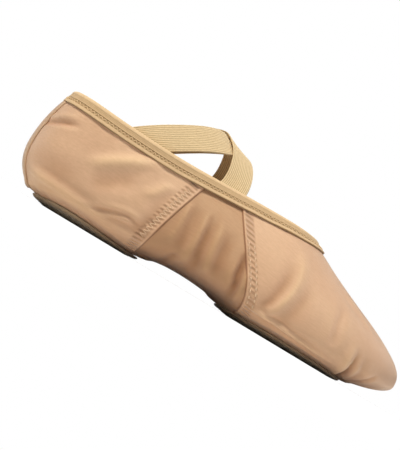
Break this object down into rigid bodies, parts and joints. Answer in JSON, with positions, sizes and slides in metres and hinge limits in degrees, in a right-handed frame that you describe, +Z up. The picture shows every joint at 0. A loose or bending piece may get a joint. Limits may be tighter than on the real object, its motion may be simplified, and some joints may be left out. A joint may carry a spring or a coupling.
{
  "type": "split sole ballet slipper",
  "caption": "Soft stretch-canvas ballet slipper with a separate suede pad under heel and forefoot, a stretch arch gore, a bound collar and crossed elastics over the instep.",
  "frame": {"origin": "on the floor under the middle of the shoe's length and width", "axes": "+X towards the toe, +Y towards the inner side of the right foot, +Z up"},
  "size_m": [0.2385, 0.0855, 0.0845],
  "materials": {
    "canvas": "matt stretch canvas with a fine weave, flesh coloured",
    "binding": "matt folded elastic tape with lengthwise ribs",
    "elastic": "matt woven elastic with fine lengthwise ribs",
    "suede": "matt brushed suede, grey-brown",
    "lining": "matt cotton over thin foam"
  },
  "bodies": {
    "root": {"upper": "canvas", "collar_binding": "binding", "elastic_under": "elastic", "elastic_over": "elastic", "heel_pad": "suede", "forefoot_pad": "suede", "heel_insole": "lining", "forefoot_insole": "lining", "back_strip": "canvas"}
  },
  "joints": []
}
